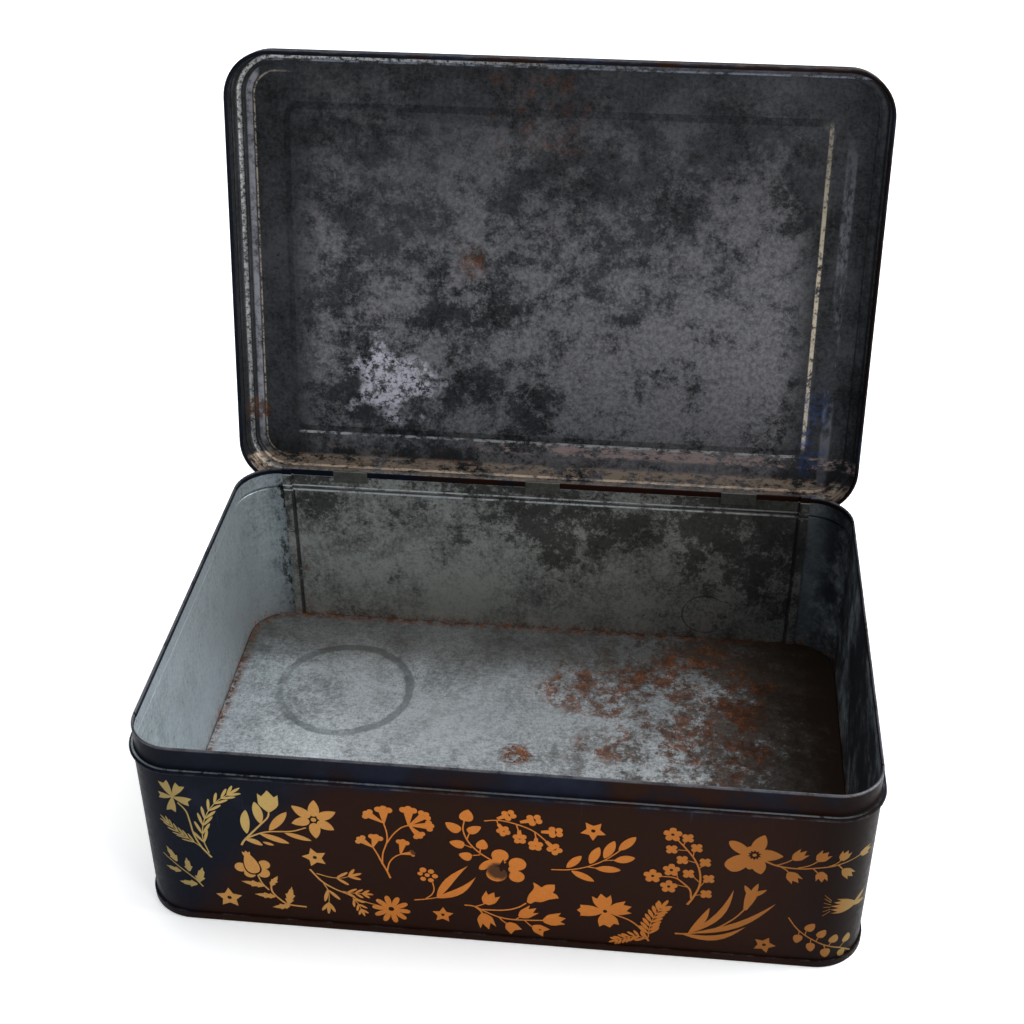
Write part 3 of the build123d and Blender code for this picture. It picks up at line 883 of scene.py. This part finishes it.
def pansy():
    marks = several(stem, (
        (0.8, 0.9, (-12.6, 73), (-13.2, 67.4), (-11.2, 61), (-7, 55.4), (-0.6, 50.4)),
        (0.7, 0.7, (-10.6, 66), (-11.6, 62.4)), (0.6, 0.7, (-13, 59), (-9.8, 57.6)),
        (0.8, 0.7, (-6.1, 57.4), (-6.5, 54.4)), (0.7, 0.7, (-9.4, 53.1), (-6.2, 53.8)),
    ))
    marks += several(leaf, (
        ((-12.2, 72.6), (-11, 79.2), 6.8), ((-14.6, 66.4), (-20.4, 71), 5.8),
        ((-11.2, 66.4), (-5.8, 70), 5), ((-12.9, 58.4), (-19, 60), 5.4),
        ((-5.8, 57.2), (-5, 62.8), 5.8), ((-9.9, 51.6), (-15.2, 53.2), 5.6),
    ), 0.38, 0.75)
    marks += several(disc, (
        (2, 54.2, 3.6, 20), (9.3, 50, 3.7, 20), (9, 42.6, 3.3, 20), (7.6, 46.6, 2.2),
    ))
    marks += leaf((4.6, 50.6), (-6.8, 45.4), 5, 0.7, 0.5, -1.4)
    marks += disc(1.2, 51.4, 2.6) + disc(0.5, 43.2, 4.4, 20)
    return [(marks, True), (leaf((2.4, 44.8), (3.4, 52.2), 2.4, 0.6, 0.9), False)]


def blossom_spray():
    marks = several(stem, (
        (0.8, 0.8, (-4.4, 73.6), (2, 74.5), (9, 73), (16, 69.8), (21.6, 64.2)),
        (0.8, 0.7, (8.8, 73), (9.8, 69)), (0.8, 0.7, (16.4, 69.6), (17, 65.6)),
        (0.7, 0.7, (0.8, 74.2), (1.6, 71.6)),
    ))
    marks += several(blossom, (
        ((1, 75.4), (8.8, 79.4), 5.6), ((10.4, 74.4), (19.8, 77.4), 6), ((1.4, 72.4), (5, 66), 5.4),
        ((10, 69.8), (10.4, 61.8), 5.6), ((17, 66), (16.6, 58.8), 6),
        ((19, 69.8), (28.6, 70.4), 6), ((21.2, 64.6), (27, 57.6), 5.8),
    ))
    return [(marks, True)]


def bell_sprig():
    marks = several(stem, (
        (0.9, 0.9, (-13.4, 22.8), (-9, 22.4), (-5, 20), (1, 17.2), (8, 16.2), (21, 17.2)),
        (0.8, 0.7, (-9, 22.3), (-6, 23.8), (-3.8, 25.4)),
        (1, 1, (-6, 20.8), (3, 21.5), (9, 23.6), (13, 27)),
        (0.8, 1.1, (-9, 22.3), (-6.6, 20), (-5.6, 17.8)), (0.8, 0.7, (1, 17.4), (3, 14.8), (5.6, 12.8)),
        (0.7, 0.7, (8.6, 16.4), (11, 18.8)), (0.6, 0.7, (12.4, 16.2), (14.8, 13.4), (16.6, 12.6)),
    ))
    marks += corners(
        ((13.3, 27.7), (13.9, 31.6), (16.2, 36.4), (15.9, 39.9)),
        ((15.9, 39.9), (17.6, 38.9), (19.4, 37.2)),
        ((19.4, 37.2), (21.6, 39.1), (25, 39.6)),
        ((25, 39.6), (25, 36.6), (24.2, 34.6)),
        ((24.2, 34.6), (25.8, 33.6), (26.8, 31.6)),
        ((26.8, 31.6), (22.6, 30.2), (19.4, 28.4), (16.7, 28.3), (14.9, 26.9), (13.3, 27.7)),
    )
    marks += several(cup, (
        ((-4.2, 24.4), (-0.6, 32), 6.6, 3, 0.34, 0.35), ((10.2, 18.2), (17.4, 24.4), 5.8, 3, 0.34, 0.3),
        ((20.4, 16.8), (30, 19.6), 7, 3, 0.3, 0.25), ((15.8, 13.2), (22.6, 9), 5.6, 2, 0.3, 0.25),
        ((5, 13.8), (9.4, 8), 5.8, 2, 0.28, 0.3), ((-5.6, 18.4), (-3, 8.8), 7, 3, 0.4, 0.25),
    ), 0.4)
    return [(marks, True), (disc(19, 11.2, 0.5, 8), False)]


def leafy_branch():
    marks = several(stem, (
        (0.8, 0.7, (23.4, 48.4), (31, 49.2), (38, 51.6), (45, 56), (51, 62), (53, 65)),
        (0.6, 0.7, (44.6, 56), (50, 56.9)), (0.6, 0.7, (38, 51.7), (42.4, 51.3)),
    ))
    marks += several(leaf, (
        ((29.8, 50.2), (35.8, 57.8), 4.2), ((39.4, 53.6), (43, 63.6), 4.8),
        ((45.2, 57.4), (49.2, 67.8), 4.8), ((51, 62.6), (57.8, 71), 4.6),
        ((49.4, 56.4), (57.8, 59), 4.8), ((41.8, 51.2), (52.2, 51.2), 4.4),
        ((31.8, 48.6), (41.4, 43.4), 4),
    ))
    return [(marks, True)]


def wallflower():
    marks = several(cup, (
        ((46.4, 26.2), (44.4, 36.4), 8, 3, 0.28), ((46.8, 25.8), (57.6, 30), 7.6, 3, 0.26),
        ((46, 25.6), (34.6, 25.4), 6.6, 3, 0.14), ((46.6, 25.4), (48.8, 16.2), 8.6, 3, 0.22),
    ), 0.2, 0.6)
    marks += stem(0.8, 1.2, (50, 24.6), (57, 21.6), (62, 16.8), (65.6, 9.8))
    marks += several(spray, (
        ([(65.3, 12), (65.6, 18), (67.2, 25), (70.2, 31)], 8, 6.6, 1.9, 42, 0.16),
        ([(65, 10.8), (60.4, 12.2), (56, 10.8), (52, 8.8)], 7, 4.8, 1.5, 44, 0.12),
    ))
    return [(marks, True), (disc(46.5, 25.9, 0.95, 10), False)]


def raceme():
    marks = several(stem, (
        (1.4, 0.8, (80.6, 34), (82.8, 38.6), (85, 46), (84.6, 54), (82, 61), (78, 67), (74.4, 71.6)),
        (1.2, 0.7, (82, 37.8), (81.2, 43), (77.8, 47), (74.4, 49.4), (68.4, 49.6)),
    ))
    marks += twigs(
        0.6, 0.5,
        ((76, 48.6), (75, 52.6)), ((80.2, 44.4), (76, 45.2)), ((85.2, 45.4), (87.2, 48.8)),
        ((84.4, 56), (85.8, 58)), ((81.4, 62.4), (81.6, 66)), ((77.2, 68.4), (77.8, 71)),
        ((82.6, 59), (79, 60)), ((79, 65.6), (75, 65.6)), ((84.6, 48), (82, 51)), ((83.6, 40), (86, 40.6)),
    )
    holes = []
    for x, y, radius in ((65.5, 49.4, 3.9), (73, 53.7, 3.6), (72.4, 43.9, 3.7), (72.5, 74, 3.9)):
        marks += rosette(x, y, radius, 5, 90, 0.86, 0, 0.6, 0.4)
        holes += disc(x, y, 0.75, 8)
    marks += several(rosette, (
        (78.7, 72.6, 2.7), (82.6, 67.4, 2.7), (72.5, 65.6, 2.7), (77.1, 60, 2.7), (80.1, 52.3, 2.7),
        (86.5, 59.5, 2.7), (88.5, 50.2, 2.7), (88, 41.2, 2.7),
    ), 4, 50, 1, 0, 0.6, 0.4)
    return [(marks, True), (holes, False)]


def daffodil():
    marks = disc(106, 65.6, 5.6, 24)
    marks += several(leaf, (
        ((105, 66), (95.6, 57), 9.4, 0.6, 0.35), ((104, 66), (95.4, 72.8), 6, 0.6, 0.6),
        ((106, 67), (109.2, 77.6), 6.8, 0.6, 0.8), ((107, 66.4), (117.6, 66.4), 7.4, 0.5, 0.9),
        ((107, 64), (109.4, 55.4), 7, 0.6, 0.8), ((105, 64), (104.4, 57.6), 4.6, 0.6, 0.6),
    ))
    marks += stem(1.2, 0.6, (110.6, 63), (116, 60.8), (125, 60.2), (135, 62.2), (143, 64.6), (152, 67))
    marks += twigs(
        0.8, 0.7,
        ((115.4, 61.2), (119, 63.2), (122, 65.6)), ((124, 60.6), (128.4, 62.4), (132, 65.6)),
        ((116.6, 60.8), (119, 59.2), (121, 57)), ((136, 62.6), (139, 64.4), (141, 66.4)),
        ((130, 61), (132.4, 58.2)), ((140, 63.6), (142.6, 60.2)),
    )
    marks += several(cup, (
        ((121.6, 65), (126.6, 70.6), 5), ((131.4, 65.4), (135.4, 71), 5),
        ((141, 66), (143.4, 71.4), 4.6), ((120.4, 57.6), (125, 52), 5.4),
        ((133.4, 59.4), (134.2, 53.4), 4.8), ((142.2, 60.8), (147.4, 55), 4.6),
        ((149.6, 67), (157, 66), 4.6),
    ), 3, 0.36, 0.3, 0.4)
    gap = star(106, 66, 2.9, 90, 0.66, 10)
    return [(marks, True), (gap, False), (disc(106, 66, 0.9, 8), True)]


def iris():
    marks = stem(1.2, 0.9, (76.4, 15.8), (82, 16.4), (92, 20), (100, 27.2), (104.8, 34.4))
    marks += several(leaf, (
        ((82, 16.6), (90, 33.2), 3.8, 0.9, 1, -1), ((83, 17), (99.2, 45), 3.6, 0.9, 1.1, -3.6),
        ((83, 16.8), (117, 38.6), 3.6, 0.8, 1, -4.2), ((79, 16), (105.6, 23.2), 3.6, 0.8, 1, -4.6),
    ))
    marks += cup((104.6, 33.6), (107.4, 46.2), 4.8, 2, 0.1, 0.28, 0.8)
    for tip in ((103.4, 48.2), (108.9, 49.8), (112.6, 46.4)):
        marks += leaf((106.6, 42), tip, 2.8, 0.6, 0.9)
    return [(marks, True)]


def thistle():
    marks = cup((151, 37.2), (139.4, 39.6), 8.4, 5, 0.34, 0.3, 0.7)
    marks += leaf((150, 37), (157, 41.4), 3) + leaf((150, 37), (158, 35), 2.8)
    for y in (33.6, 36.2, 38.8, 41.4, 44, 46):
        marks += stem(0.35, 0.25, (139.4, 39.4 + (y - 39.4) * 0.5), (136.4, y))
    return [(marks, True)]


def heart_branch():
    marks = stem(0.7, 0.9, (122.8, 31.2), (126.8, 25), (132, 20.2), (139, 16), (147, 12), (153.6, 6.6))
    marks += twigs(
        0.6, 0.5,
        ((128, 23.6), (128, 20.4)), ((133.2, 19.4), (133.4, 16.4)), ((139, 16), (139.8, 13.2)),
        ((130.6, 21.4), (131, 24.6)), ((135.4, 18), (136.4, 21)), ((141, 15), (142.4, 17.4)),
        ((146.4, 12.4), (149, 15)),
    )
    marks += several(leaf, (
        ((131, 24), (133.8, 28.6), 4.6), ((136.2, 20.6), (138.8, 25.2), 4.4),
        ((128, 21.2), (127.4, 16.2), 4.6), ((133.4, 16.8), (133.7, 11.6), 4.4),
        ((142.4, 16.8), (143.8, 21.6), 5), ((139.8, 13.6), (140.4, 8.2), 5),
        ((149.2, 14.6), (150.2, 19.6), 5), ((147.2, 11), (148.6, 5.8), 4.4),
    ), 0.38, 0.7)
    return [(marks, True)]


def motifs():
    """Every motif of one repeat of the print."""
    plants = (
        cornflower, tulip, holly_sprig, pomegranate, daisy_branch, trumpet_branch, berry_cluster, pansy,
        blossom_spray, bell_sprig, leafy_branch, wallflower, raceme, daffodil, iris, thistle, heart_branch,
    )
    stars = (
        (-116.5, 15.5, 6, 90), (-76.8, 44.4, 5.6, 106), (-22.9, 15.6, 4.7, 88), (40.3, 72.6, 5.5, -90),
        (114.2, 13.3, 5, -2), (168, 28, 5, 90), (174, 62, 5.2, 70),
    )
    return [plant() for plant in plants] + [little_star(*values) for values in stars]


def triangles(layers, seams):
    """Split a motif's layers into triangles, cut along the upright seams; keep what is inked last."""
    points, edges, faces, inked = [], [], [], []
    for outlines, ink in layers:
        for outline in outlines:
            area = sum(a.x * b.y - b.x * a.y for a, b in zip(outline, outline[1:] + outline[:1]))
            start = len(points)
            points += outline if area > 0 else outline[::-1]
            faces.append(list(range(start, len(points))))
            inked.append(ink)
    low, high = min(p.y for p in points), max(p.y for p in points)
    for x in seams:
        edges.append((len(points), len(points) + 1))
        points += [Vector((x, low - 1)), Vector((x, high + 1))]
    spots, _, cells, _, _, owners = delaunay_2d_cdt(points, edges, faces, 0, 1e-5)
    kept = [cell for cell, owner in zip(cells, owners) if owner and inked[max(owner)]]
    return spots, kept


def film(name, spots, cells, place):
    """A thin closed film over the triangles, laid on a surface by place(point, height)."""
    used = sorted({k for cell in cells for k in cell})
    number = {k: i for i, k in enumerate(used)}
    top = [place(spots[k], FILM_FACE) for k in used]
    bottom = [place(spots[k], FILM_ROOT) for k in used]
    faces = []
    borders = {}
    for cell in cells:
        ring = [number[k] for k in cell]
        faces.append(ring)
        faces.append([k + len(used) for k in ring[::-1]])
        for a, b in zip(ring, ring[1:] + ring[:1]):
            if (b, a) in borders:
                del borders[(b, a)]
            else:
                borders[(a, b)] = True
    faces += [[b, a, a + len(used), b + len(used)] for a, b in borders]
    mesh = bpy.data.meshes.new(name)
    mesh.from_pydata(top + bottom, [], faces)
    made = bpy.data.objects.new(name, mesh)
    bpy.context.collection.objects.link(made)
    return made


def wall_place(shift):
    """Lay a flat print on the body's wall, starting from the middle of the front."""
    flat_x = NECK_HALF_WIDTH - CORNER_RADIUS
    flat_y = NECK_HALF_DEPTH - CORNER_RADIUS
    radius = CORNER_RADIUS + WALL_OUT
    bend = radius * pi / 2
    runs = (flat_x, bend, 2 * flat_y, bend, 2 * flat_x, bend, 2 * flat_y, bend, flat_x)
    around = sum(runs)

    def place(point, height):
        s = ((point.x + shift) * MM) % around
        spot, heading = Vector((0.0, -NECK_HALF_DEPTH - WALL_OUT)), 0.0
        for k, run in enumerate(runs):
            step = min(s, run)
            ahead = Vector((cos(heading), sin(heading)))
            if k % 2 == 0:
                spot = spot + ahead * step
            else:
                turn = step / radius
                side = Vector((-ahead.y, ahead.x))
                spot = spot + ahead * radius * sin(turn) + side * radius * (1 - cos(turn))
                heading += turn
            s -= step
            if s <= 0:
                break
        out = Vector((sin(heading), -cos(heading))) * height
        return Vector((spot.x + out.x, spot.y + out.y, (point.y - PRINT_DROP - PRINT_SLANT * point.x) * MM))

    return place, around


def corner_seams(low, high, shift):
    """Where a print must be cut so that it bends smoothly round the corners, in flat millimetres."""
    flat_x, flat_y = (NECK_HALF_WIDTH - CORNER_RADIUS) / MM, (NECK_HALF_DEPTH - CORNER_RADIUS) / MM
    bend = (CORNER_RADIUS + WALL_OUT) / MM * pi / 2
    starts = [flat_x, flat_x + bend + 2 * flat_y]
    half = 2 * (flat_x + flat_y + bend)
    seams = []
    for turn in (-2, -1, 0, 1, 2):
        for start in starts:
            count = int(bend / CORNER_STEP) + 1
            for k in range(count + 1):
                x = start + turn * half + bend * k / count - shift
                if low < x < high:
                    seams.append(x)
    return seams


def lid_place(shift_x, shift_y):
    """Lay a flat print on the open lid's outer face, right way up seen from the front when shut."""
    swing = Matrix.Translation(HINGE) @ Matrix.Rotation(-OPEN_ANGLE, 4, "X") @ Matrix.Translation(-HINGE)

    def place(point, height):
        shut = Vector(((point.x + shift_x) * MM, (point.y + shift_y) * MM, LID_SHUT_TOP + height))
        return swing @ shut

    return place


def print_body(material):
    """The print runs round the body several times."""
    _, around = wall_place(0)
    pieces = []
    for repeat in range(PRINT_REPEATS):
        shift = PRINT_SHIFT_X + repeat * around / PRINT_REPEATS / MM
        place, _ = wall_place(shift)
        for k, layers in enumerate(motifs()):
            xs = [p.x for outlines, _ in layers for outline in outlines for p in outline]
            spots, cells = triangles(layers, corner_seams(min(xs), max(xs), shift))
            pieces.append(film(f"print_{repeat}_{k}", spots, cells, place))
    return join_pieces(pieces, "printed_flowers_body", material)


def print_lid(material):
    """The same flowers in two rows on the lid's sunk panel, leaving out what would cross its edge."""
    pieces = []
    edge_x, edge_y = PANEL_HALF_WIDTH / MM - LID_MARGIN_X, PANEL_HALF_DEPTH / MM - LID_MARGIN_Y
    for row, shift in enumerate(LID_SHIFTS):
        place = lid_place(*shift)
        for k, layers in enumerate(motifs()):
            points = [p for outlines, _ in layers for outline in outlines for p in outline]
            fits = all(abs(p.x + shift[0]) < edge_x and abs(p.y + shift[1]) < edge_y for p in points)
            if fits:
                spots, cells = triangles(layers, [])
                pieces.append(film(f"lid_print_{row}_{k}", spots, cells, place))
    return join_pieces(pieces, "printed_flowers_lid", material)


def join_pieces(pieces, name, material):
    """Gather films into one object."""
    with bpy.context.temp_override(active_object=pieces[0], selected_editable_objects=pieces):
        bpy.ops.object.join()
    pieces[0].name = name
    pieces[0].data.materials.append(material)
    return pieces[0]


# ---------------------------------------------------------------- studio


def pale_floor():
    sh = Shader("pale_floor")
    tone = sh.noise(3, 3)
    sh.put(sh.surface.inputs["Base Color"], sh.mix(tone, (0.9, 0.9, 0.9, 1), (0.94, 0.94, 0.94, 1)))
    sh.surface.inputs["Roughness"].default_value = 0.9
    sh.surface.inputs["Specular IOR Level"].default_value = 0.1
    sh.surface.inputs["Emission Color"].default_value = (1.0, 1.0, 1.0, 1)
    sh.surface.inputs["Emission Strength"].default_value = FLOOR_GLOW
    bpy.ops.mesh.primitive_plane_add(size=FLOOR_SPAN, location=(0, 0, -FLOOR_GAP))
    floor = bpy.context.object
    floor.name = "studio_floor"
    floor.data.materials.append(sh.material)
    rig.stage(floor)


def area_light(name, place, target, width, height, power, colour):
    light = bpy.data.lights.new(name, "AREA")
    light.shape = "RECTANGLE"
    light.size, light.size_y = width, height
    light.energy = power
    light.color = colour
    made = bpy.data.objects.new(name, light)
    made.location = place
    made.rotation_euler = (Vector(target) - Vector(place)).to_track_quat("-Z", "Y").to_euler()
    bpy.context.collection.objects.link(made)


def studio():
    world = bpy.data.worlds.new("studio")
    bpy.context.scene.world = world
    world.use_nodes = True
    world.node_tree.nodes["Background"].inputs["Color"].default_value = (0.8, 0.88, 1.0, 1)
    world.node_tree.nodes["Background"].inputs["Strength"].default_value = 0.28
    area_light("window", (1.9, 0.35, 0.9), (0, 0, 0.05), 1.6, 1.4, 62, (0.92, 0.96, 1.0))
    area_light("side_window", (1.25, -1.15, 0.95), (0, 0.1, 0.15), 0.5, 1.2, 8, (1.0, 0.97, 0.9))
    area_light("ceiling", (0.1, 0.9, 2.4), (0, 0.2, 0), 3.5, 3.0, 82, (1.0, 0.99, 0.97))


def camera():
    """Seen from the front, a little from the right, looking down."""
    place = Vector((0.0568, -0.5797, 0.5473))
    azimuth, down, roll = radians(-6.03), radians(34.16), radians(-0.15)
    ahead = Vector((sin(azimuth) * cos(down), cos(azimuth) * cos(down), -sin(down)))
    right = Vector((cos(azimuth), -sin(azimuth), 0.0))
    up = right.cross(ahead)
    turned_right = right * cos(roll) + up * sin(roll)
    turned_up = up * cos(roll) - right * sin(roll)
    data = bpy.data.cameras.new("camera")
    data.lens = 56.87
    data.sensor_width = 36.0
    made = bpy.data.objects.new("camera", data)
    axes = Matrix((turned_right, turned_up, -ahead)).transposed()
    made.matrix_world = Matrix.Translation(place) @ axes.to_4x4()
    bpy.context.collection.objects.link(made)
    bpy.context.scene.camera = made


def dress_frame():
    """Give every CAD piece its detailed finish."""
    finishes = {
        "body_wrap": body_wrap_material(),
        "back_panel": back_panel_material(),
        "base_pan": base_pan_material(),
        "lid_pressing": lid_material(),
    }
    strap = strap_material()
    for name, node in frame["nodes"].items():
        finish = finishes.get(name, strap)
        node.data.materials.clear()
        node.data.materials.append(finish)


dress_frame()
ink = ink_material()
body_print = print_body(ink)
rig.ride(body_print, "body")
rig.slot(body_print, "enamelled_tinplate")
lid_print = print_lid(ink)
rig.ride(lid_print, "lid")
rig.slot(lid_print, "enamelled_tinplate")
pale_floor()
studio()
camera()
bpy.context.scene.view_settings.view_transform = "Standard"


def plain(value):
    """Vectors and tuples as lists of numbers."""
    if isinstance(value, dict):
        return {name: plain(part) for name, part in value.items()}
    if isinstance(value, (int, float, str)):
        return value
    return [plain(part) for part in value]


with open("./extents.json", "w") as file:
    json.dump([plain(SIZE_BEFORE), plain(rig.bounds())], file)
